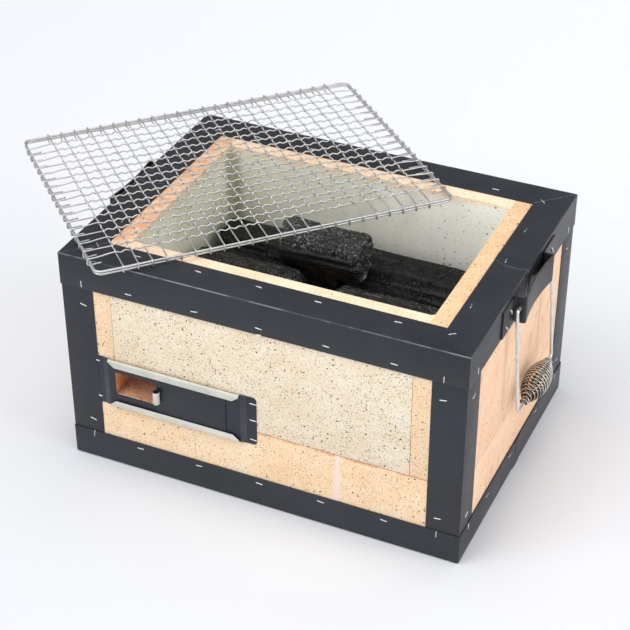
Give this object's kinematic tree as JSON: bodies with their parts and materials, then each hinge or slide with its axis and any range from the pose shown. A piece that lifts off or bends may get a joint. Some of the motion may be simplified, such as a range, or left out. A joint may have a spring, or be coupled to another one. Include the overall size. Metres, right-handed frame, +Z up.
{
  "type": "hibachi charcoal grill",
  "caption": "Box-shaped tabletop charcoal grill of pale diatomite slabs bound in black steel strip, with a sliding draught vent, coil-grip bail handles and a loose woven wire cooking net.",
  "frame": {"origin": "middle of the underside that the grill stands on", "axes": "+X to the right along the long side, +Y to the back, +Z up; the vent is on the front, -Y"},
  "size_m": [0.4339, 0.3348, 0.1863],
  "materials": {
    "black_steel": "satin",
    "cream_diatomite": "matte",
    "peach_diatomite": "matte",
    "staple_wire": "satin",
    "bright_wire": "satin",
    "spring_wire": "satin",
    "rack_steel": "satin",
    "charcoal": "matte"
  },
  "bodies": {
    "grill": {"base_block_left": "peach_diatomite", "base_block_middle": "peach_diatomite", "base_block_right": "peach_diatomite", "front_slab": "cream_diatomite", "back_slab": "cream_diatomite", "left_slab": "peach_diatomite", "right_slab": "peach_diatomite", "top_frame_front": "black_steel", "top_frame_back": "black_steel", "bottom_frame_front": "black_steel", "bottom_frame_back": "black_steel", "post_front_left": "black_steel", "post_front_right": "black_steel", "post_back_left": "black_steel", "post_back_right": "black_steel", "vent_rail": "black_steel", "right_bracket": "black_steel", "left_bracket": "black_steel", "top_frame_staples": "staple_wire", "bottom_frame_staples": "staple_wire", "post_staples": "staple_wire", "vent_staples": "staple_wire", "bracket_staples": "staple_wire", "rack_rails": "rack_steel", "rack_bars": "rack_steel", "charcoal_back_right": "charcoal", "charcoal_back_left": "charcoal", "charcoal_middle_right": "charcoal", "charcoal_middle_left": "charcoal", "charcoal_front_right": "charcoal", "charcoal_front_left": "charcoal", "charcoal_top": "charcoal"},
    "vent_door": {"vent_slider": "black_steel"},
    "right_handle": {"right_bail": "bright_wire"},
    "left_handle": {"left_bail": "bright_wire"},
    "right_coil": {"right_grip": "spring_wire"},
    "left_coil": {"left_grip": "spring_wire"},
    "cooking_net": {"net_frame": "bright_wire", "net_long_wires": "bright_wire", "net_cross_wires": "bright_wire"}
  },
  "joints": [
    {"name": "vent_slide", "type": "slide", "parent": "grill", "child": "vent_door", "axis": [1, 0, 0], "range_m": [-0.0355, 0.01]},
    {"name": "right_handle_swing", "type": "hinge", "parent": "grill", "child": "right_handle", "pos_m": [0.1596, 0.003, 0.165], "axis": [0, -1, 0], "range_deg": [-1, 186]},
    {"name": "left_handle_swing", "type": "hinge", "parent": "grill", "child": "left_handle", "pos_m": [-0.1596, 0.003, 0.165], "axis": [0, 1, 0], "range_deg": [-1, 85]},
    {"name": "right_grip_spin", "type": "hinge", "parent": "right_handle", "child": "right_coil", "pos_m": [0.16554, 0.0087, 0.08001], "axis": [0, 1, 0], "continuous": true},
    {"name": "left_grip_spin", "type": "hinge", "parent": "left_handle", "child": "left_coil", "pos_m": [-0.16554, 0.0087, 0.08001], "axis": [0, 1, 0], "continuous": true},
    {"name": "net_lift", "type": "slide", "parent": "grill", "child": "cooking_net", "axis": [0, 0, 1], "range_m": [0, 0.15]}
  ]
}
